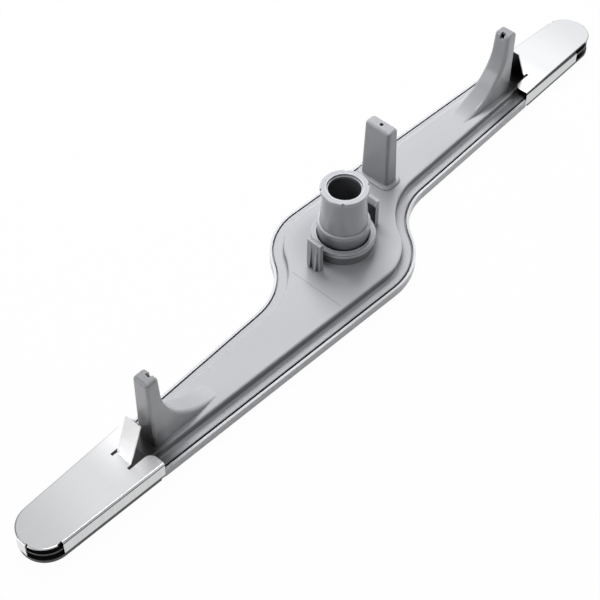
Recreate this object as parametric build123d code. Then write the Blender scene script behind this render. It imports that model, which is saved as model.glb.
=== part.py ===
from build123d import *
import os
from math import asin, atan2, cos, hypot, sin

os.makedirs("parts", exist_ok=True)

# Dishwasher spray arm, in millimetres.
# The origin is on the turning axis, at the flat underside. X runs along the arm, Z up the water spigot.
# Every outline is the joint line between the two shells, grown or shrunk by a named offset.

# Plan of the arm
overall_length = 490.0
hub_radius = 38.8
arm_offset = 17.5
tip_radius = 12.6
neck_radius = 40.0
shell_end = 171.0

# Lower shell, a tray with a lip round the joint line
joint_height = 6.2
floor_thickness = 2.0
lip_width = 1.8
joint_gap = 0.5
trap_floor = 2.8
ledge_width = 2.2
lower_edge_bevel = 0.8

# Upper shell, a lid with a raised deck
flange_thickness = 2.0
deck_height = 5.0
deck_inset = 5.9
deck_edge_round = 1.2
deck_foot_round = 1.3
wall = 2.0

# Steel end clips
sheet = 0.6
clip_proud = 1.7
clip_lap = 2.7
fold_round = 1.0
inner_flange_gap = 1.6
outer_flange_gap = 2.2
inner_flange_end = 22.0
outer_flange_end = 13.4
flange_end_cut = 2.4
tip_tab_width = 6.2
tip_tab_shift = 0.7
tip_tab_drop = 9.0
tip_notch_radius = 1.0
relief_width = 2.6
relief_depth = 1.4
notch_width = 13.8
wing_round = 4.5
tab_width = 10.4
tab_length = 24.6
tab_setback = 8.6
tab_lean = 21.5
tab_relief = 3.0

# Black end plugs under the clips
plug_core_inset = 0.6
plug_lip = 1.6
lip_play = 0.1
plug_bead_height = 1.2
tongue_length = 5.5
tongue_clearance = 0.3
clip_clearance = 0.3

# Water spigot that turns in the hub
spigot_height = 55.6
rim_radius = 13.4
rim_thickness = 2.0
rim_chamfer = 0.4
bore_radius = 9.05
mouth_radius = 9.9
mouth_depth = 1.2
bore_length = 22.0
cone_top_radius = 11.9
cone_foot_radius = 13.3
collar_top = 31.0
collar_radius = 14.6
collar_height = 5.6
journal_radius = 14.1
passage_radius = 11.6
flare_height = 6.0
foot_radius = 17.2
foot_bottom = 5.7
foot_thickness = 2.0
rim_notch_radius = 1.1
rim_notch_angle = 38.0

# Hub boss and bush
running_clearance = 0.08
axial_play = 0.25
boss_radius = 16.7
boss_height = 7.3
boss_foot = 1.1
bush_barrel_radius = 15.4
bush_flange_radius = 17.9
bush_flange_height = 3.0
bush_mouth_radius = 15.0
bush_edge = 0.5
post_inner = 12.4
post_outer = 18.4
post_width = 2.2
post_count = 4

# Snap hooks beside the spigot
hook_face = 21.6
hook_thickness = 2.6
hook_width = 9.2
hook_top = 30.8
hook_nose = 1.3
hook_nose_height = 2.6
hook_rib_depth = 1.7
hook_rib_width = 1.4
hook_rib_pitch = 4.2
hook_rib_drop = 1.0

# Curved horn nozzles near the tips
horn_setback = 6.0
horn_lean = 1.6
horn_crown_length = 7.9
horn_scoop_length = 38.0
horn_scoop_height = 33.0
horn_scoop_sink = 0.08
horn_top = 56.2
horn_half_foot = 6.3
horn_half_top = 5.2
horn_foot_shift = -0.5
horn_top_shift = 1.5
horn_edge_round = 1.8
horn_crown_round = 1.9
horn_wall = 1.8
slot_width = 3.1
slot_height = 3.4
slot_depth = 3.0

# Tower nozzle
tower_x = 53.6
tower_y = 20.5
tower_length = 20.0
tower_depth = 9.8
tower_top = 51.3
tower_draft = 0.9
tower_edge_round = 2.2
tower_crown_round = 1.9
tower_wall = 1.9
tower_hole_radius = 1.25
plinth_margin = 2.4
plinth_height = 1.4
plinth_bevel = 0.84

# Spray jets in the underside
jet_first = 50.0
jet_pitch = 24.0
jet_count = 5
jet_length = 6.0
jet_width = 2.2
jet_shift = 5.0
jet_tilt = 24.0
jet_recess = 0.7

# Heights and places that follow
ledge_height = joint_height - flange_thickness
deck_top = joint_height + deck_height
boss_top = deck_top + boss_height
clip_seat = clip_proud - sheet
clip_start = shell_end - clip_lap
tab_hinge = shell_end + tab_setback
horn_outer_foot = shell_end - horn_setback
horn_outer_top = horn_outer_foot - horn_lean
horn_inner_top = horn_outer_top - horn_crown_length
horn_scoop_foot = horn_inner_top - horn_scoop_length
clip_top = deck_top + sheet
half_length = overall_length / 2
tip_tab_root = -half_length + 2 * sheet
foot_top = foot_bottom + foot_thickness
post_top = foot_bottom - axial_play
bush_bottom = foot_top + axial_play
tip_x = half_length - tip_radius - clip_proud
taper = asin((hub_radius - tip_radius) / hypot(tip_x, arm_offset)) - atan2(arm_offset, tip_x)
reach = overall_length
near = 0.1


def block(x0, x1, y0, y1, z0, z1):
    """Rectangular block between two corners."""
    size = Box(x1 - x0, y1 - y0, z1 - z0)
    return Pos((x0 + x1) / 2, (y0 + y1) / 2, (z0 + z1) / 2) * size


def disc(radius, z0, z1):
    """Round bar about the turning axis."""
    return Pos(0, 0, (z0 + z1) / 2) * Cylinder(radius, z1 - z0)


def turned(shape):
    """The same piece on the other half of the arm."""
    return Rot(0, 0, 180) * shape


def plan(offset):
    """Outline of the whole arm, grown from the joint line by the offset."""
    r_hub = hub_radius + offset
    r_tip = tip_radius + offset
    tip_front = (-tip_x - r_tip * sin(taper), -arm_offset - r_tip * cos(taper))
    tip_back = (-tip_x - r_tip * sin(taper), -arm_offset + r_tip * cos(taper))
    hub_front = (-r_hub * sin(taper), -r_hub * cos(taper))
    root_back = (0, tip_back[1] - tip_back[0] * sin(taper) / cos(taper))
    half = Polygon((0, 0), root_back, tip_back, tip_front, hub_front, align=None)
    half += Pos(-tip_x, -arm_offset) * Circle(r_tip)
    outline = Circle(r_hub) + half + turned(half)
    necks = outline.vertices().filter_by(lambda v: 0.9 * r_hub < abs(v.X) < 1.01 * r_hub)
    return fillet(necks, neck_radius - offset)


def layer(offset, z0, z1):
    """Slice of the arm's outline between two heights."""
    return Pos(0, 0, z0) * extrude(plan(offset), z1 - z0, dir=(0, 0, 1))


def beyond(start):
    """Everything past a distance from the axis, on the left half."""
    return block(-reach, -start, -reach, reach, -reach, reach)


middle = block(-shell_end, shell_end, -reach, reach, -reach, reach)
rebate = beyond(clip_start - clip_clearance)
both_rebates = rebate + turned(rebate)


def lower_shell():
    """Tray: flat floor, outer wall with a lip, ledge for the lid, weld trap, posts and jets."""
    tray = layer(lip_width, 0, joint_height)
    tray = chamfer(tray.edges().group_by(Axis.Z)[0], lower_edge_bevel)
    tray -= layer(-ledge_width, floor_thickness, reach)
    tray -= layer(joint_gap, ledge_height, reach)
    tray -= layer(joint_gap, trap_floor, reach) - layer(-joint_gap, 0, reach)
    tray &= middle
    tray -= both_rebates - layer(clip_seat, -reach, reach)
    post = block(post_inner, post_outer, -post_width / 2, post_width / 2, floor_thickness, post_top)
    for i in range(post_count):
        tray += Rot(0, 0, 360 / post_count * (i + 0.5)) * post
    for i in range(jet_count):
        side = jet_shift if i % 2 else -jet_shift
        place = Pos(-jet_first - i * jet_pitch, side - arm_offset, 0)
        slot = extrude(Rectangle(jet_length, jet_width), 4 * floor_thickness, both=True)
        recess = extrude(Rectangle(jet_length + jet_width, 2 * jet_width), jet_recess)
        jet = place * Rot(jet_tilt, 0, 0) * slot + place * recess
        tray -= jet
        tray -= turned(jet)
    return tray


def hook():
    """Snap hook on the right of the spigot, with two ribs on its outer face."""
    back = hook_face + hook_thickness
    nose_z = hook_top - hook_nose_height
    foot = deck_top - wall / 2
    side = Polygon(
        (hook_face, foot),
        (hook_face, nose_z - hook_nose),
        (hook_face - hook_nose, nose_z),
        (hook_face - hook_nose, nose_z + hook_nose / 2),
        (hook_face + hook_nose / 2, hook_top),
        (back, hook_top),
        (back, foot),
        align=None,
    )
    shape = extrude(Plane.XZ * side, hook_width / 2, both=True)
    rib = Polygon((back, foot), (back, hook_top - hook_rib_drop), (back + hook_rib_depth, foot), align=None)
    for y in (-hook_rib_pitch / 2, hook_rib_pitch / 2):
        shape += Pos(0, y, 0) * extrude(Plane.XZ * rib, hook_rib_width / 2, both=True)
    return shape


def horn_body(inset):
    """Horn on the left half, shrunk by the inset to make its water passage."""
    centre_z = deck_top + horn_scoop_height
    long_axis = horn_inner_top - horn_scoop_foot + inset
    short_axis = horn_scoop_height + horn_scoop_sink + inset
    low = deck_top - wall
    top = horn_top - inset
    scoop = EllipticalCenterArc((-horn_scoop_foot, centre_z), long_axis, short_axis, 180, arc_size=90)
    edge = Polyline(
        scoop @ 1,
        (-horn_scoop_foot, low),
        (-horn_outer_foot + inset, low),
        (-horn_outer_top + inset, top),
        (-horn_inner_top - inset, top),
        scoop @ 0,
    )
    side = make_face([scoop, edge])
    half_foot = horn_half_foot - inset
    half_top = horn_half_top - inset
    front = Polygon(
        (horn_foot_shift - half_foot, low),
        (horn_foot_shift + half_foot, low),
        (horn_top_shift + half_top, top),
        (horn_top_shift - half_top, top),
        align=None,
    )
    body = extrude(Plane.XZ * side, 2 * horn_half_foot, both=True)
    body &= Pos(-reach / 2, 0, 0) * extrude(Plane.YZ * front, reach)
    return Pos(0, -arm_offset, 0) * body


def horn():
    """Solid horn with rounded edges, on the left half."""
    body = horn_body(0)
    uprights = body.edges().filter_by(lambda e: deck_top < e.center().Z < horn_top - near)
    body = fillet(uprights, horn_edge_round)
    return fillet(body.edges().group_by(Axis.Z)[-1], horn_crown_round)


def horn_passage():
    """Water passage of the horn with its slot towards the hub."""
    passage = horn_body(horn_wall)
    y = horn_top_shift - arm_offset
    x = -horn_inner_top
    y0, y1 = y - slot_width / 2, y + slot_width / 2
    slot = block(x - slot_depth, x + 1, y0, y1, horn_top - slot_height, reach)
    return passage + slot


def tower_body(inset, z0, z1):
    """Tapered block of the tower, shrunk by the inset."""
    length = tower_length - 2 * inset
    depth = tower_depth - 2 * inset
    corner = tower_edge_round - min(inset, tower_edge_round * 0.7)
    low = Pos(tower_x, tower_y, z0) * RectangleRounded(depth, length, corner)
    high = Pos(tower_x, tower_y, z1) * RectangleRounded(
        depth - 2 * tower_draft, length - 2 * tower_draft, corner
    )
    return loft([low, high])


def tower():
    """Tower nozzle on its plinth."""
    body = tower_body(0, deck_top - wall, tower_top)
    body = fillet(body.edges().group_by(Axis.Z)[-1], tower_crown_round)
    plinth = RectangleRounded(
        tower_depth + 2 * plinth_margin, tower_length + 2 * plinth_margin, tower_edge_round + plinth_margin
    )
    plinth = Pos(tower_x, tower_y, deck_top - wall) * extrude(plinth, wall + plinth_height)
    plinth = chamfer(plinth.edges().group_by(Axis.Z)[-1], plinth_bevel)
    return body + plinth


def upper_shell():
    """Lid: flange, raised deck, hub boss, hooks, horns and tower in one moulding."""
    lid = layer(-joint_gap, ledge_height, joint_height) + layer(-deck_inset, ledge_height, deck_top)
    rim_face = lid.faces().filter_by_position(Axis.Z, joint_height - near, joint_height + near)[0]
    lid = fillet(rim_face.inner_wires()[0].edges(), deck_foot_round)
    lid = fillet(lid.edges().group_by(Axis.Z)[-1], deck_edge_round)
    lid += disc(boss_radius, deck_top - wall, boss_top)
    lid += Pos(0, 0, deck_top + boss_foot / 2) * Cone(boss_radius + boss_foot, boss_radius, boss_foot)
    lid += hook() + turned(hook())
    lid += horn() + turned(horn())
    lid += tower()
    lid -= layer(-deck_inset - wall, -reach, deck_top - wall)
    lid -= disc(bush_barrel_radius, -reach, reach)
    lid -= horn_passage() + turned(horn_passage())
    lid -= tower_body(tower_wall, deck_top - 2 * wall, tower_top - tower_wall)
    lid -= Pos(tower_x, tower_y, tower_top) * Cylinder(tower_hole_radius, 4 * tower_wall)
    lid &= middle
    return lid


def hub_bush():
    """Flanged plain bush pressed in the boss."""
    bush = disc(bush_barrel_radius, bush_bottom, boss_top)
    flange = disc(bush_flange_radius, boss_top, boss_top + bush_flange_height)
    bush += chamfer(flange.edges().group_by(Axis.Z)[-1], bush_edge)
    bush -= disc(journal_radius + running_clearance, -reach, reach)
    bush -= disc(bush_mouth_radius, boss_top, reach)
    return bush


def spigot():
    """Tapered water spigot: notched rim, cone, collar, journal and foot."""
    rim_bottom = spigot_height - rim_thickness
    mouth = spigot_height - mouth_depth
    bore_end = mouth - bore_length
    section = Polygon(
        (bore_radius, mouth),
        (mouth_radius, mouth),
        (mouth_radius, spigot_height),
        (rim_radius - rim_chamfer, spigot_height),
        (rim_radius, spigot_height - rim_chamfer),
        (rim_radius, rim_bottom),
        (cone_top_radius, rim_bottom),
        (cone_foot_radius, collar_top),
        (collar_radius - rim_chamfer, collar_top),
        (collar_radius, collar_top - rim_chamfer),
        (collar_radius, collar_top - collar_height),
        (journal_radius, collar_top - collar_height),
        (journal_radius, foot_top),
        (foot_radius, foot_top),
        (foot_radius, foot_bottom),
        (passage_radius, foot_bottom),
        (passage_radius, bore_end - flare_height),
        (bore_radius, bore_end),
        align=None,
    )
    tube = revolve(Plane.XZ * section, Axis.Z)
    for angle in (rim_notch_angle, 180 - rim_notch_angle, 180 + rim_notch_angle, -rim_notch_angle):
        notch = Pos(rim_radius, 0, spigot_height) * Cylinder(rim_notch_radius, 2 * rim_thickness)
        tube -= Rot(0, 0, angle) * notch
    return tube


def end_plug():
    """Black plug that closes the left end of the arm and fills the clip."""
    bead_z = joint_height - plug_bead_height / 2
    body = layer(-plug_core_inset, 0, deck_top)
    body += layer(plug_lip, 0, inner_flange_gap - lip_play)
    outer_lip = layer(plug_lip, 0, outer_flange_gap - lip_play)
    body += outer_lip & block(-reach, reach, -reach, -arm_offset, 0, reach)
    body += layer(clip_seat, bead_z, bead_z + plug_bead_height)
    body &= beyond(shell_end)
    tongue = layer(
        -deck_inset - wall - tongue_clearance,
        floor_thickness + tongue_clearance,
        deck_top - wall - tongue_clearance,
    )
    tongue &= block(-shell_end - wall, -shell_end + tongue_length, -reach, reach, -reach, reach)
    return body + tongue


def clip_tab():
    """Tongue of the clip, bent up towards the horn."""
    flat = block(-tab_hinge, -tab_hinge + tab_length, -tab_width / 2, tab_width / 2, 0, sheet)
    bend = Pos(-tab_hinge, 0, deck_top) * Rot(0, tab_lean - 90, 0) * Pos(tab_hinge, 0, 0)
    root = Pos(-tab_hinge, 0, deck_top + sheet / 2) * Rot(90, 0, 0) * Cylinder(sheet / 2, tab_width)
    return Pos(0, -arm_offset, 0) * (bend * flat + root)


def tip_tab():
    """Flat flange that folds down over the tip."""
    half = tip_tab_width / 2
    tab = block(-half_length, tip_tab_root, -half, half, clip_top - tip_tab_drop, clip_top)
    tab = fillet(tab.edges().filter_by(Axis.Y).group_by(Axis.X)[0].group_by(Axis.Z)[-1], fold_round)
    tab -= block(-half_length + sheet, reach, -reach, reach, -reach, deck_top)
    return Pos(0, tip_tab_shift - arm_offset, 0) * tab


def end_clip():
    """Folded stainless clip over the left end, with its flanges, reliefs, wings and tabs."""
    clip = fillet(layer(clip_proud, inner_flange_gap, clip_top).edges().group_by(Axis.Z)[-1], fold_round)
    clip -= layer(clip_seat, -reach, deck_top)
    clip &= beyond(clip_start)
    outer_end = half_length - outer_flange_end
    inner_end = half_length - inner_flange_end
    edge = tip_radius + clip_proud
    clip -= block(-reach, reach, -reach, -arm_offset, -reach, outer_flange_gap)
    clip -= block(-reach, -outer_end, -reach, -arm_offset, -reach, deck_top)
    clip -= block(-reach, -inner_end, -arm_offset, reach, -reach, deck_top)
    relief_y = relief_depth - edge - arm_offset
    clip -= block(-outer_end - relief_width, -outer_end, -reach, relief_y, -reach, reach)
    end_cut = Pos(-inner_end, edge - arm_offset, deck_top) * Rot(90, 0, 0) * Cylinder(flange_end_cut, 2 * wall)
    clip -= end_cut & block(-reach, reach, -reach, reach, -reach, deck_top)
    half = notch_width / 2
    notch = Pos(-clip_start, -arm_offset) * Rectangle(2 * (tab_hinge - clip_start), notch_width)
    clip -= Pos(0, 0, deck_top - sheet) * extrude(notch, wall)
    for side in (-1, 1):
        y0, y1 = sorted((side * tab_width / 2, side * half))
        relief = block(-tab_hinge - tab_relief, -clip_start, y0, y1, deck_top - sheet, reach)
        clip -= Pos(0, -arm_offset, 0) * relief
    corners = clip.edges().filter_by(Axis.Z).filter_by(
        lambda e: abs(e.center().X + clip_start) < near and abs(abs(e.center().Y + arm_offset) - half) < near
    )
    clip = fillet(corners, wing_round)
    tab_y = tip_tab_shift - arm_offset
    tab_side = tab_y - tip_tab_width / 2
    clip -= Pos(tip_tab_root - sheet, tab_side, deck_top) * Cylinder(tip_notch_radius, 4 * sheet)
    clip -= block(-reach, tip_tab_root, tab_side, tab_y + tip_tab_width / 2, -reach, reach)
    return clip + tip_tab() + clip_tab()


pieces = {
    "lower_shell": lower_shell(),
    "upper_shell": upper_shell(),
    "hub_bush": hub_bush(),
    "spigot": spigot(),
    "left_end_plug": end_plug(),
    "right_end_plug": turned(end_plug()),
    "left_end_clip": end_clip(),
    "right_end_clip": turned(end_clip()),
}
for name, shape in pieces.items():
    shape.label = name
    export_step(shape, f"parts/{name}.step")
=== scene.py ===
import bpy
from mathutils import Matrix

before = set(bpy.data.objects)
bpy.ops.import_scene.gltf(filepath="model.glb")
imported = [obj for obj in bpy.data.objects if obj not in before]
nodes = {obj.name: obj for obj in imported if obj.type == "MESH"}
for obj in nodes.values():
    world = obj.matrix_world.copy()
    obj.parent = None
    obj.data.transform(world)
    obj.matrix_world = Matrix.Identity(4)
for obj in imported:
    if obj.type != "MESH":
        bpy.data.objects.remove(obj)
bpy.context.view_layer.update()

from types import SimpleNamespace

import bpy
from mathutils import Vector

# Lower shell: the tray that closes the water duct from below and carries the lid.
# It is injection moulded in grey glass-filled polypropylene, straight from a finely sparked tool.
# The sparked grain is far finer than a pixel, so it is drawn at 0.6 mm to show as a faint satin.
tray_grey, tray_grey_drifted = "B0B1B5", "B8B9BD"
tray_roughness, tray_corner_tone = 0.22, 0.9
plastic_ior = 1.49
flow_length = 0.045
grain_size, grain_depth, grain_strength = 0.0006, 0.00004, 0.12
# Painted shade darkens corners with little open sky; a painted highlight makes convex edges paler.
corner_shade_reach, corner_shade_span = 0.008, (0.1, 0.55)
edge_width, edge_span, edge_highlight_gain = 0.0012, (0.85, 0.6), 0.4


def linear(code):
    """An sRGB hex colour as linear numbers."""
    parts = [int(code[i:i + 2], 16) / 255 for i in (0, 2, 4)]
    return tuple(c / 12.92 if c <= 0.04045 else ((c + 0.055) / 1.055) ** 2.4 for c in parts) + (1.0,)


def put(tree, kind, settings=None, **inputs):
    """Adds a node with its settings; inputs, where i0 is the first socket, take numbers or other outputs."""
    made = tree.nodes.new(kind)
    for key, value in (settings or {}).items():
        if isinstance(key, int) or key in made.inputs:
            made.inputs[key].default_value = value
        else:
            setattr(made, key, value)
    for key, source in inputs.items():
        socket = made.inputs[int(key[1:]) if key[1:].isdigit() else key.replace("_", " ")]
        if isinstance(source, (int, float)):
            socket.default_value = source
        else:
            tree.links.new(source, socket)
    return made


def smooth_ramp(tree, source, low, high, at_low=0.0, at_high=1.0):
    """Smooth step of a value between two limits."""
    settings = {"interpolation_type": "SMOOTHSTEP", 1: low, 2: high, 3: at_low, 4: at_high}
    return put(tree, "ShaderNodeMapRange", settings, i0=source).outputs[0]


def all_of(tree, *masks):
    """Where every mask holds: their product."""
    held = masks[0]
    for mask in masks[1:]:
        held = put(tree, "ShaderNodeMath", {"operation": "MULTIPLY"}, i0=held, i1=mask).outputs[0]
    return held


def gained(tree, mask, gain, base=1.0):
    """A tone factor: the base where the mask is off, and the gain more where it holds."""
    return put(tree, "ShaderNodeMath", {"operation": "MULTIPLY_ADD", 1: gain, 2: base}, i0=mask).outputs[0]


def unsigned(tree, value):
    """A value without its sign, for what is alike on both halves of the arm."""
    return put(tree, "ShaderNodeMath", {"operation": "ABSOLUTE"}, i0=value).outputs[0]


def places(tree):
    """What a mask can ask of a point: where it lies, how far from the hub, and which way it faces."""
    coords = put(tree, "ShaderNodeTexCoord").outputs
    at = put(tree, "ShaderNodeSeparateXYZ", Vector=coords["Object"]).outputs
    facing = put(tree, "ShaderNodeSeparateXYZ", Vector=coords["Normal"]).outputs
    flat = put(tree, "ShaderNodeVectorMath", {"operation": "MULTIPLY", 1: (1, 1, 0)}, i0=coords["Object"])
    radius = put(tree, "ShaderNodeVectorMath", {"operation": "LENGTH"}, i0=flat.outputs[0])
    return SimpleNamespace(
        point=coords["Object"],
        x=at["X"],
        y=at["Y"],
        z=at["Z"],
        reach=unsigned(tree, at["X"]),
        radius=radius.outputs["Value"],
        faces_x=facing["X"],
        faces_y=facing["Y"],
        faces_up=facing["Z"],
    )


def moulded_thermoplastic(name, base, drifted, roughness, corner_tone, placed_tones=None):
    """Satin moulding with a flow drift, painted shade in corners and a painted highlight on open edges."""
    material = bpy.data.materials.new(name)
    material.use_nodes = True
    tree = material.node_tree
    tree.nodes.clear()
    at = places(tree)
    drift = {"Scale": 1 / flow_length, "Detail": 3.0, "Roughness": 0.55}
    flow = put(tree, "ShaderNodeTexNoise", drift, Vector=at.point)
    greys = {"data_type": "RGBA", 6: linear(base), 7: linear(drifted)}
    grey = put(tree, "ShaderNodeMix", greys, i0=flow.outputs["Fac"])
    # Painted shade: the tone falls in corners where ambient occlusion finds little open sky.
    open_sky = put(tree, "ShaderNodeAmbientOcclusion", {"samples": 6, "Distance": corner_shade_reach})
    corner_shade = smooth_ramp(tree, open_sky.outputs["AO"], *corner_shade_span, corner_tone, 1.0)
    # Painted highlight: convex edges, found by occlusion inside the part, are made paler.
    beneath = put(tree, "ShaderNodeAmbientOcclusion", {"samples": 6, "inside": True, "Distance": edge_width})
    at.rubbed = smooth_ramp(tree, beneath.outputs["AO"], *edge_span)
    factor = all_of(tree, corner_shade, gained(tree, at.rubbed, edge_highlight_gain))
    if placed_tones:
        factor = all_of(tree, factor, placed_tones(tree, at))
    tone = put(tree, "ShaderNodeVectorMath", {"operation": "SCALE"}, i0=grey.outputs[2], Scale=factor)
    grain = put(tree, "ShaderNodeTexNoise", {"Scale": 1 / grain_size, "Detail": 2.0}, Vector=at.point)
    relief = {"Strength": grain_strength, "Distance": grain_depth}
    bump = put(tree, "ShaderNodeBump", relief, Height=grain.outputs["Fac"])
    shader = put(
        tree,
        "ShaderNodeBsdfPrincipled",
        {"Roughness": roughness, "IOR": plastic_ior, "Specular IOR Level": 0.5},
        Base_Color=tone.outputs[0],
        Normal=bump.outputs["Normal"],
    )
    put(tree, "ShaderNodeOutputMaterial", Surface=shader.outputs["BSDF"])
    return material


def dress(node, material):
    """Puts a finish on every slot of a CAD node."""
    for slot in nodes[node].material_slots:
        slot.material = material


tray_plastic = moulded_thermoplastic(
    "moulded_polypropylene_tray", tray_grey, tray_grey_drifted, tray_roughness, tray_corner_tone
)
dress("lower_shell", tray_plastic)

# Upper shell: the lid with the raised deck, the hub boss, the snap hooks, the two horns and the tower.
# It is moulded like the tray, in nearly the same grey. The open joint holds no light and is painted black.
# Painted shade lies at the feet, round the hub and on the horns and the tower, the hooks are a little
# darker than the deck, and the far deck's rounded edge has a painted highlight.
lid_grey, lid_grey_drifted = "AAABAF", "B2B3B7"
lid_roughness, lid_corner_tone = 0.22, 0.2

# Two limits in brackets say where a mark starts and where it is full. Heights, reaches and radii are metres,
# slopes are parts of the normal, and dark is the share of the tone that the mark takes away.
joint_heights, joint_dark = (0.00612, 0.00592), 0.97
rim_top, rim_dark, rim_dark_in_front = 0.0075, 0.3, 0.55
neck_reach, arm_offset = 0.0875, 0.0175


def any_of(tree, *masks):
    """Where any mask holds: the strongest of them."""
    held = masks[0]
    for mask in masks[1:]:
        held = put(tree, "ShaderNodeMath", {"operation": "MAXIMUM"}, i0=held, i1=mask).outputs[0]
    return held


def above(tree, value, limit):
    """1 where a value lies over a limit, and 0 elsewhere."""
    return put(tree, "ShaderNodeMath", {"operation": "GREATER_THAN"}, i0=value, i1=limit).outputs[0]


def below(tree, value, limit):
    """1 where a value lies under a limit, and 0 elsewhere."""
    return put(tree, "ShaderNodeMath", {"operation": "LESS_THAN"}, i0=value, i1=limit).outputs[0]


def band(tree, value, middle, half):
    """1 where a value lies within half a width of the middle, and 0 elsewhere."""
    return put(tree, "ShaderNodeMath", {"operation": "COMPARE", 1: middle, 2: half}, i0=value).outputs[0]


def joint_shadow(tree, at):
    """The open joint is black, and the flange's rim over it is shaded, most on the front of the S."""
    joint = smooth_ramp(tree, at.z, *joint_heights, 0.0, joint_dark)
    necks = {1: -neck_reach, 2: neck_reach, 3: -arm_offset, 4: arm_offset}
    middle = put(tree, "ShaderNodeMapRange", necks, i0=at.x)
    in_front = below(tree, at.y, middle.outputs[0])
    depth = gained(tree, in_front, rim_dark_in_front, rim_dark)
    return any_of(tree, joint, all_of(tree, below(tree, at.z, rim_top), at.rubbed, depth))


# Painted shade on the deck's bank, round the hub and on the boss wall.
bank_slopes, bank_heights, bank_dark = (0.75, 0.2), (0.0112, 0.0106), 0.55
hub_radii, hub_dark = (0.034, 0.019), 0.2
boss_radius, boss_dark = 0.0169, 0.55
seam_x, seam_half, seam_dark = -0.0343, 0.0003, 0.25
seam_back, seam_front = 0.0065, -0.0290


def deck_shade_and_seam(tree, at):
    """Painted shade on the deck's bank, round the hub and on the boss, and the fine moulding seam by the
    hub.
    """
    steep = smooth_ramp(tree, at.faces_up, *bank_slopes)
    bank = all_of(tree, steep, smooth_ramp(tree, at.z, *bank_heights, 0.0, bank_dark))
    hub = smooth_ramp(tree, at.radius, *hub_radii, 0.0, hub_dark)
    boss = all_of(tree, below(tree, at.radius, boss_radius), boss_dark)
    seam_middle, seam_reach = (seam_back + seam_front) / 2, (seam_back - seam_front) / 2
    along_seam = band(tree, at.y, seam_middle, seam_reach)
    seam = all_of(tree, band(tree, at.x, seam_x, seam_half), along_seam, seam_dark)
    return any_of(tree, bank, hub, boss, seam)


hook_reach, hook_half_depth, hook_half_width = 0.0229, 0.0034, 0.0048
hook_heights, hook_dark = (0.0115, 0.0118), 0.28
# Painted shade on the face of each hook towards the bush.
face_reach, face_half_depth, face_half_width, face_foot = 0.0208, 0.0009, 0.0045, 0.0114
face_heights, face_dark = (0.0305, 0.026), (0.3, 0.85)


def hook_darkening(tree, at):
    """The hooks are a little darker all round, and their face that grips the bush gets painted shade."""
    on_hook = all_of(
        tree,
        band(tree, at.reach, hook_reach, hook_half_depth),
        band(tree, at.y, 0.0, hook_half_width),
        smooth_ramp(tree, at.z, *hook_heights, 0.0, hook_dark),
    )
    on_face = all_of(
        tree,
        band(tree, at.reach, face_reach, face_half_depth),
        band(tree, at.y, 0.0, face_half_width),
        smooth_ramp(tree, at.z, *face_heights, *face_dark),
        above(tree, at.z, face_foot),
    )
    return any_of(tree, on_hook, on_face)


# Painted shade at the horns' feet, on up-facing crowns, and on the horns' flanks and scoops.
foot_reaches, foot_heights = (0.152, 0.1675), (0.040, 0.015)
foot_shade_heights, foot_shade_depths = (0.006, 0.011), (0.6, 0.94)
crown_foot, crown_slopes = 0.049, (0.2, 0.95)
crown_reaches, crown_dark = (0.08, 0.12), (0.1, 0.42)
horn_inner_end, horn_bottom = 0.12, 0.0118
flank_slopes, flank_heights, flank_dark = (0.5, 0.8), (0.040, 0.014), 0.2
scoop_slopes, scoop_halves, scoop_dark = (-0.01, -0.05), (-0.01, 0.01), (0.1, 0.2)


def horn_shade(tree, at):
    """Painted shade round the horns' feet, on the crowns of horns and tower, and on the horns' flanks and
    scoops.
    """
    foot = all_of(
        tree,
        smooth_ramp(tree, at.reach, *foot_reaches),
        smooth_ramp(tree, at.z, *foot_heights),
        smooth_ramp(tree, at.z, *foot_shade_heights, *foot_shade_depths),
    )
    crown = all_of(
        tree,
        smooth_ramp(tree, at.faces_up, *crown_slopes),
        above(tree, at.z, crown_foot),
        smooth_ramp(tree, at.reach, *crown_reaches, *crown_dark),
    )
    sideways = smooth_ramp(tree, unsigned(tree, at.faces_y), *flank_slopes)
    flank = all_of(tree, sideways, smooth_ramp(tree, at.z, *flank_heights, 0.0, flank_dark))
    to_hub = smooth_ramp(tree, all_of(tree, at.x, at.faces_x), *scoop_slopes)
    scoop = all_of(tree, to_hub, smooth_ramp(tree, at.x, *scoop_halves, *scoop_dark))
    on_horn = all_of(tree, above(tree, at.reach, horn_inner_end), above(tree, at.z, horn_bottom))
    return any_of(tree, foot, crown, all_of(tree, any_of(tree, flank, scoop), on_horn))


# Painted shade on the tower towards its foot and at its corners, and on the plinth's sides.
tower_x, tower_half_width, tower_bottom = 0.0536, 0.0051, (0.0128, 0.0132)
tower_heights, tower_dark = (0.045, 0.014), (0.2, 0.36)
corner_slopes, corner_dark = (0.2, 0.45), 0.14
plinth_half_width, plinth_y, plinth_half_depth = 0.0085, 0.0205, 0.0137
plinth_heights, plinth_slopes, plinth_dark = (0.0125, 0.0113), (0.95, 0.8), 0.3


def tower_and_plinth_shade(tree, at):
    """The tower gets painted shade towards its foot and at its rounded corners, its plinth on its sides."""
    diagonal = unsigned(tree, all_of(tree, at.faces_x, at.faces_y))
    corner = smooth_ramp(tree, diagonal, *corner_slopes, 0.0, corner_dark)
    depth = smooth_ramp(tree, at.z, *tower_heights, *tower_dark)
    tower_shade = put(tree, "ShaderNodeMath", {"operation": "ADD"}, i0=depth, i1=corner).outputs[0]
    over_plinth = smooth_ramp(tree, at.z, *tower_bottom)
    tower = all_of(tree, band(tree, at.x, tower_x, tower_half_width), over_plinth, tower_shade)
    plinth = all_of(
        tree,
        band(tree, at.x, tower_x, plinth_half_width),
        band(tree, at.y, plinth_y, plinth_half_depth),
        smooth_ramp(tree, at.z, *plinth_heights, 0.0, plinth_dark),
        smooth_ramp(tree, at.faces_up, *plinth_slopes),
    )
    return any_of(tree, tower, plinth)


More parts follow.
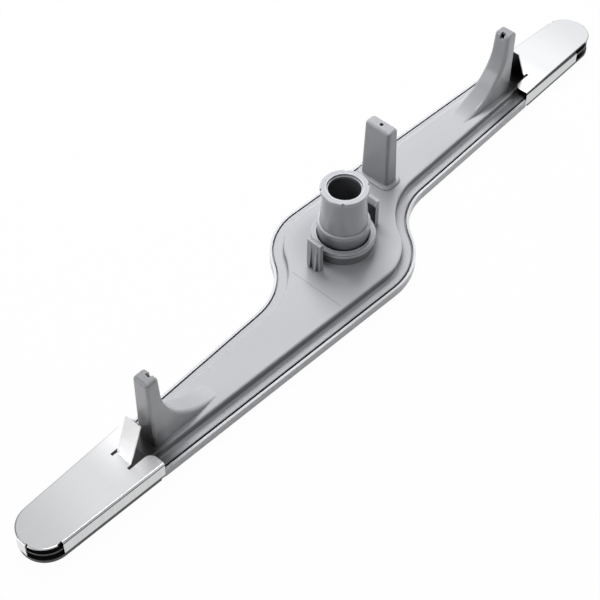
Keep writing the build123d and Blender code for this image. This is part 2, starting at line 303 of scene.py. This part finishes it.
# Painted highlight along the far deck's rounded top edge.
line_height, line_half_height = 0.0106, 0.0008
line_upper_slopes, line_lower_slopes = (0.99, 0.93), (0.55, 0.8)
line_reaches, line_highlight_gain = (-0.01, 0.02), 0.2


def lid_tones(tree, at):
    """Lid tone: 1 on the open deck, less under painted shade and seam, painted highlight on far deck's edge.
    """
    pieces = (joint_shadow, deck_shade_and_seam, hook_darkening, horn_shade, tower_and_plinth_shade)
    dark = any_of(tree, *[placed_tones(tree, at) for placed_tones in pieces])
    remaining = put(tree, "ShaderNodeMath", {"operation": "SUBTRACT", 0: 1.0}, i1=dark).outputs[0]
    edge_highlight = all_of(
        tree,
        smooth_ramp(tree, at.faces_up, *line_upper_slopes),
        smooth_ramp(tree, at.faces_up, *line_lower_slopes),
        band(tree, at.z, line_height, line_half_height),
        smooth_ramp(tree, at.x, *line_reaches, 0.0, line_highlight_gain),
    )
    return all_of(tree, remaining, gained(tree, edge_highlight, 1.0))


lid_plastic = moulded_thermoplastic(
    "moulded_polypropylene_lid", lid_grey, lid_grey_drifted, lid_roughness, lid_corner_tone, lid_tones
)
dress("upper_shell", lid_plastic)

# Hub bush: the flanged bearing ring pressed in the boss.
# It is moulded acetal in the same grey, a touch smoother than the shells. Round its flange a fine dark line
# is painted shade for a groove, and a bright line is a painted highlight on a land.
bush_grey, bush_grey_drifted = "A2A3A8", "AAABB0"
bush_roughness, bush_corner_tone = 0.2, 0.2
groove_height, groove_half, groove_shade_gain = 0.0204, 0.0002, -0.35
land_height, land_half, land_highlight_gain = 0.0197, 0.0003, 0.3


def bush_rings(tree, at):
    """Painted shade line for a groove and painted highlight line for a land round the flange, by height."""
    groove = gained(tree, band(tree, at.z, groove_height, groove_half), groove_shade_gain)
    land = gained(tree, band(tree, at.z, land_height, land_half), land_highlight_gain)
    return all_of(tree, groove, land)


bush_plastic = moulded_thermoplastic(
    "moulded_acetal_bush", bush_grey, bush_grey_drifted, bush_roughness, bush_corner_tone, bush_rings
)
dress("hub_bush", bush_plastic)

# Spigot: the tapered water tube that turns in the bush.
# It is moulded acetal like the bush. Its bore gets near-black painted shade, its rim a painted highlight,
# and its collar painted shade with two fine rings of painted highlight.
spigot_grey, spigot_grey_drifted = "9D9EA3", "A5A6AB"
spigot_roughness, spigot_corner_tone = 0.18, 0.2
bore_wall, bore_shade_gain = 0.0093, -0.68
mouth_floor, mouth_fade = 0.0543, 0.002
rim_heights, rim_highlight_factors = (0.0548, 0.0555), (1.0, 1.22)
collar_heights, collar_shade_factors, collar_end = (0.0254, 0.0306), (0.55, 0.95), 0.0311
ring_heights, ring_half, ring_highlight_gain = (0.0308, 0.0291), 0.00025, 0.3


def spigot_shade_and_highlights(tree, at):
    """Near-black painted shade in the bore, painted highlight on the rim and rings, painted shade on the
    collar.
    """
    deep = put(tree, "ShaderNodeMapRange", {1: mouth_floor, 2: mouth_floor - mouth_fade}, i0=at.z)
    bore = gained(tree, all_of(tree, below(tree, at.radius, bore_wall), deep.outputs[0]), bore_shade_gain)
    rim = smooth_ramp(tree, at.z, *rim_heights, *rim_highlight_factors)
    shaded = smooth_ramp(tree, at.z, *collar_heights, *collar_shade_factors)
    collar = any_of(tree, shaded, above(tree, at.z, collar_end))
    rings = [gained(tree, band(tree, at.z, height, ring_half), ring_highlight_gain) for height in ring_heights]
    return all_of(tree, bore, rim, collar, *rings)


spigot_plastic = moulded_thermoplastic(
    "moulded_acetal_spigot",
    spigot_grey,
    spigot_grey_drifted,
    spigot_roughness,
    spigot_corner_tone,
    spigot_shade_and_highlights,
)
dress("spigot", spigot_plastic)

# End plugs: black mouldings that close the two ends under the clips.
# They are nylon with a low sheen, with painted shade in their corners and a faint painted highlight on
# edges.
plug_black, plug_black_drifted = "0B0C0F", "101115"
plug_roughness, plug_corner_tone = 0.35, 0.4
plug_plastic = moulded_thermoplastic(
    "moulded_black_nylon", plug_black, plug_black_drifted, plug_roughness, plug_corner_tone
)
dress("left_end_plug", plug_plastic)
dress("right_end_plug", plug_plastic)

# End clips: stainless sheet, blanked, folded over the ends and left with its rolled finish.
# The rolling grain runs along the strip. It is finer than a pixel, so it is drawn 0.4 mm wide to show.
# The folded sides get a darker grey as painted shade and a crossways scratch hatch. The top gets painted
# shade towards the tip. Folds, slits, cut edges, the tab's bend, undersides and the flanges' lower edges
# get near-black painted shade.
# Near-black painted shade: under the long folds, cut edges, the tab's bend, undersides, slits, lower edges.
fold_low, fold_high, fold_blur, fold_end = 0.0100, 0.01095, 0.0001, 0.2318
far_fold_start, far_fold_opening, far_fold_rise = 0.17, 0.03, 0.0006
cut_slope, cut_reach = 0.97, 0.243
bend_x, bend_half_depth, bend_y, bend_half_width = 0.1797, 0.0007, 0.0175, 0.0053
under_slopes = (-0.05, -0.25)
slit_reach, slit_span, slit_dark = 0.003, (0.4, 0.1), 0.9
foot_edge, far_foot_shift, foot_edge_dark = (0.0028, 0.0026), 0.0007, 0.9


def painted_clip_shade(tree, at, along, straight):
    """Near-black painted shade: under the long folds, cut edges, the tab's bend, undersides, slits, lower
    edges.
    """
    far_half = above(tree, at.x, 0.0)
    from_start = {"operation": "SUBTRACT", "use_clamp": True, 1: far_fold_start}
    past_start = put(tree, "ShaderNodeMath", from_start, i0=at.x).outputs[0]
    opening = all_of(tree, past_start, far_fold_opening)
    from_low = put(tree, "ShaderNodeMath", {"operation": "ADD"}, i0=at.z, i1=opening).outputs[0]
    rise = all_of(tree, far_half, far_fold_rise)
    from_high = put(tree, "ShaderNodeMath", {"operation": "SUBTRACT"}, i0=at.z, i1=rise).outputs[0]
    fold = all_of(
        tree,
        smooth_ramp(tree, from_low, fold_low, fold_low + fold_blur),
        smooth_ramp(tree, from_high, fold_high, fold_high - fold_blur),
        straight,
    )
    cut = all_of(tree, above(tree, along, cut_slope), below(tree, at.reach, cut_reach))
    at_bend = band(tree, at.x, bend_x, bend_half_depth)
    bend = all_of(tree, at_bend, band(tree, at.y, bend_y, bend_half_width))
    under = smooth_ramp(tree, at.faces_up, *under_slopes)
    open_sky = put(tree, "ShaderNodeAmbientOcclusion", {"samples": 6, "Distance": slit_reach})
    slit = smooth_ramp(tree, open_sky.outputs["AO"], *slit_span, 0.0, slit_dark)
    shift = all_of(tree, far_half, far_foot_shift)
    from_foot = put(tree, "ShaderNodeMath", {"operation": "ADD"}, i0=at.z, i1=shift).outputs[0]
    lower_edge = smooth_ramp(tree, from_foot, *foot_edge, 0.0, foot_edge_dark)
    return any_of(tree, fold, cut, under, bend, slit, lower_edge)


strip_bright, strip_shaded, strip_end_on = "EAEAEB", "B7B8BA", "E8E8E8"
side_shaded, side_streak, clip_shade_grey = "C9CACB", "D2D3D4", "111213"
rolled_length, rolled_width = 0.02, 0.0004
rolled_share, rolled_base = 0.12, 0.94
rolled_depth, rolled_strength = 0.00002, 0.05
roughness_low, roughness_high = 0.3, 0.4
scratch_length, scratch_width, scratch_span = 0.02, 0.0005, (0.3, 0.7)
straight_slope, side_slopes, end_slopes = 0.3, (0.3, 0.1), (0.5, 0.8)
shade_near, shade_near_share = (0.166, 0.196), 0.75
shade_tip, shade_tip_share = (0.2, 0.24), 0.25


def rolled_stainless(name):
    """Bright rolled stainless: grain along, hatched sides, painted shade on sides, tip, folds and edges."""
    material = bpy.data.materials.new(name)
    material.use_nodes = True
    tree = material.node_tree
    tree.nodes.clear()
    at = places(tree)
    along = unsigned(tree, at.faces_x)
    straight = all_of(tree, below(tree, along, straight_slope), below(tree, at.reach, fold_end))
    lengthways = {"Scale": (1 / rolled_length, 1 / rolled_width, 1 / rolled_width)}
    drawn = put(tree, "ShaderNodeMapping", lengthways, Vector=at.point)
    grain = put(tree, "ShaderNodeTexNoise", {"Scale": 1.0, "Detail": 2.0}, Vector=drawn.outputs["Vector"])
    crossways = {"Scale": (1 / scratch_width, 1 / scratch_length, 1 / scratch_length)}
    crossed = put(tree, "ShaderNodeMapping", crossways, Vector=at.point)
    fine = {"Scale": 1.0, "Detail": 1.0}
    scratch = put(tree, "ShaderNodeTexNoise", fine, Vector=crossed.outputs["Vector"])
    # Painted shade: the top darkens from the root of the clip towards its tip.
    near = smooth_ramp(tree, at.reach, *shade_near, 0.0, shade_near_share)
    tip = smooth_ramp(tree, at.reach, *shade_tip, 0.0, shade_tip_share)
    tip_shade = put(tree, "ShaderNodeMath", {"operation": "ADD"}, i0=near, i1=tip).outputs[0]
    top_tones = {"data_type": "RGBA", 6: linear(strip_bright), 7: linear(strip_shaded)}
    top = put(tree, "ShaderNodeMix", top_tones, i0=tip_shade)
    end_tone = {"data_type": "RGBA", 7: linear(strip_end_on)}
    end_on = smooth_ramp(tree, along, *end_slopes)
    bright = put(tree, "ShaderNodeMix", end_tone, i0=end_on, i6=top.outputs[2])
    grained = gained(tree, grain.outputs["Fac"], rolled_share, rolled_base)
    tone = put(tree, "ShaderNodeVectorMath", {"operation": "SCALE"}, i0=bright.outputs[2], Scale=grained)
    # Painted shade: sideways faces get a darker grey, streaked by a crossways scratch hatch.
    side_tones = {"data_type": "RGBA", 6: linear(side_shaded), 7: linear(side_streak)}
    streak = smooth_ramp(tree, scratch.outputs["Fac"], *scratch_span)
    side_grey = put(tree, "ShaderNodeMix", side_tones, i0=streak).outputs[2]
    on_side = all_of(tree, smooth_ramp(tree, at.faces_up, *side_slopes), straight)
    faces = put(tree, "ShaderNodeMix", {"data_type": "RGBA"}, i0=on_side, i6=tone.outputs[0], i7=side_grey)
    shade_tone = {"data_type": "RGBA", 7: linear(clip_shade_grey)}
    shade_mask = painted_clip_shade(tree, at, along, straight)
    shaded_faces = put(tree, "ShaderNodeMix", shade_tone, i0=shade_mask, i6=faces.outputs[2])
    rough_spread = {3: roughness_low, 4: roughness_high}
    roughness = put(tree, "ShaderNodeMapRange", rough_spread, i0=grain.outputs["Fac"])
    relief = {"Strength": rolled_strength, "Distance": rolled_depth}
    bump = put(tree, "ShaderNodeBump", relief, Height=grain.outputs["Fac"])
    shader = put(
        tree,
        "ShaderNodeBsdfPrincipled",
        {"Metallic": 1.0},
        Base_Color=shaded_faces.outputs[2],
        Roughness=roughness.outputs[0],
        Normal=bump.outputs["Normal"],
    )
    put(tree, "ShaderNodeOutputMaterial", Surface=shader.outputs["BSDF"])
    return material


clip_steel = rolled_stainless("rolled_stainless_clip")
dress("left_end_clip", clip_steel)
dress("right_end_clip", clip_steel)

# Floor: a sheet of matt white paper that the arm lies on.
# The camera and the steel see it as white, and a small share of plain paper keeps the shadow.
floor_size, floor_drop = 6.0, 0.0002
paper_grey, white_share = "D0D0D0", 0.975
bpy.ops.mesh.primitive_plane_add(size=floor_size, location=(0, 0, -floor_drop))
floor = bpy.context.object
floor.name = "floor"
paper = bpy.data.materials.new("white_paper")
paper.use_nodes = True
tree = paper.node_tree
tree.nodes.clear()
path = put(tree, "ShaderNodeLightPath").outputs
seen = any_of(tree, path["Is Camera Ray"], path["Is Glossy Ray"])
matt = put(tree, "ShaderNodeBsdfDiffuse", {"Color": linear(paper_grey)}).outputs[0]
white = put(tree, "ShaderNodeEmission", {"Color": (1, 1, 1, 1), "Strength": 1.0}).outputs[0]
mixed = put(tree, "ShaderNodeMixShader", i0=all_of(tree, seen, white_share), i1=matt, i2=white)
put(tree, "ShaderNodeOutputMaterial", Surface=mixed.outputs[0])
floor.data.materials.append(paper)

# Walls: white to the camera and dim to the steel, which mirrors three brighter sheets with soft edges.
# One hangs high at the far right, one is overhead, and one is the sweep behind the arm.
wall_fill, wall_glow = 0.1, 0.4
world = bpy.data.worlds.new("studio")
bpy.context.scene.world = world
world.use_nodes = True
tree = world.node_tree
tree.nodes.clear()
heading = put(tree, "ShaderNodeTexCoord").outputs["Generated"]


def bright_sheet(towards, edge, core, strength):
    """Glow of a sheet that hangs towards a heading and fades from its core to the walls' own glow."""
    facing = put(tree, "ShaderNodeVectorMath", {"operation": "DOT_PRODUCT", 1: towards}, i0=heading)
    limits = {1: edge, 2: core, 3: wall_glow, 4: strength}
    return put(tree, "ShaderNodeMapRange", limits, i0=facing.outputs["Value"]).outputs[0]


glow = any_of(
    tree,
    bright_sheet(towards=(0.7, 0.4, 0.59), edge=0.72, core=1.0, strength=1.95),
    bright_sheet(towards=(-0.12, -0.3, 0.946), edge=0.84, core=0.96, strength=2.2),
    bright_sheet(towards=(0.474, 0.879, 0.05), edge=0.85, core=0.97, strength=1.0),
)
path = put(tree, "ShaderNodeLightPath").outputs
fill = put(tree, "ShaderNodeBackground", {"Color": (1, 1, 1, 1), "Strength": wall_fill}).outputs[0]
walls = put(tree, "ShaderNodeBackground", {"Color": (1, 1, 1, 1)}, Strength=glow).outputs[0]
white = put(tree, "ShaderNodeBackground", {"Color": (1, 1, 1, 1), "Strength": 1.0}).outputs[0]
mirrored = put(tree, "ShaderNodeMixShader", i0=path["Is Glossy Ray"], i1=fill, i2=walls).outputs[0]
mixed = put(tree, "ShaderNodeMixShader", i0=path["Is Camera Ray"], i1=mirrored, i2=white)
put(tree, "ShaderNodeOutputWorld", Surface=mixed.outputs[0])


# Lamps: a broad soft lamp behind the arm, a small one straight above and a panel on either side.
# The broad one is kept out of all mirrored light, because the world's sheets take its place there.
def softbox(name, place, aim, width, height, power):
    """Rectangular soft lamp that faces a point."""
    data = bpy.data.lights.new(name, "AREA")
    data.shape = "RECTANGLE"
    data.size = width
    data.size_y = height
    data.energy = power
    lamp = bpy.data.objects.new(name, data)
    bpy.context.scene.collection.objects.link(lamp)
    lamp.location = place
    lamp.rotation_euler = (Vector(aim) - Vector(place)).to_track_quat("-Z", "Y").to_euler()
    return lamp


back_lamp = softbox("back_lamp", place=(0.35, 0.6, 1.0), aim=(0, 0, 0), width=0.9, height=0.7, power=17)
back_lamp.visible_glossy = False
softbox("top_lamp", place=(-0.1, -0.05, 1.2), aim=(0, 0, 0), width=0.35, height=0.35, power=3)
softbox("left_panel", place=(-1.3, 0.5, 0.7), aim=(-0.1, 0, 0), width=0.6, height=0.8, power=5.0)
softbox("right_panel", place=(0.85, -0.75, 0.13), aim=(0, 0, 0.03), width=0.5, height=0.2, power=1.9)

# Camera: a 36 mm wide frame and a long lens, high over the near end.
# It looks down the arm at the angle of the photograph.
frame_width, focal_length, furthest = 36.0, 88.498, 20.0
camera_place = Vector((-0.42136, -0.36038, 0.60980))
look_at = Vector((-0.03902, -0.00396, 0.0))
camera_data = bpy.data.cameras.new("camera")
camera_data.sensor_width = frame_width
camera_data.lens = focal_length
camera_data.clip_end = furthest
camera = bpy.data.objects.new("camera", camera_data)
bpy.context.scene.collection.objects.link(camera)
camera.location = camera_place
camera.rotation_euler = (look_at - camera_place).to_track_quat("-Z", "Y").to_euler()
bpy.context.scene.camera = camera
bpy.context.scene.view_settings.view_transform = "Standard"
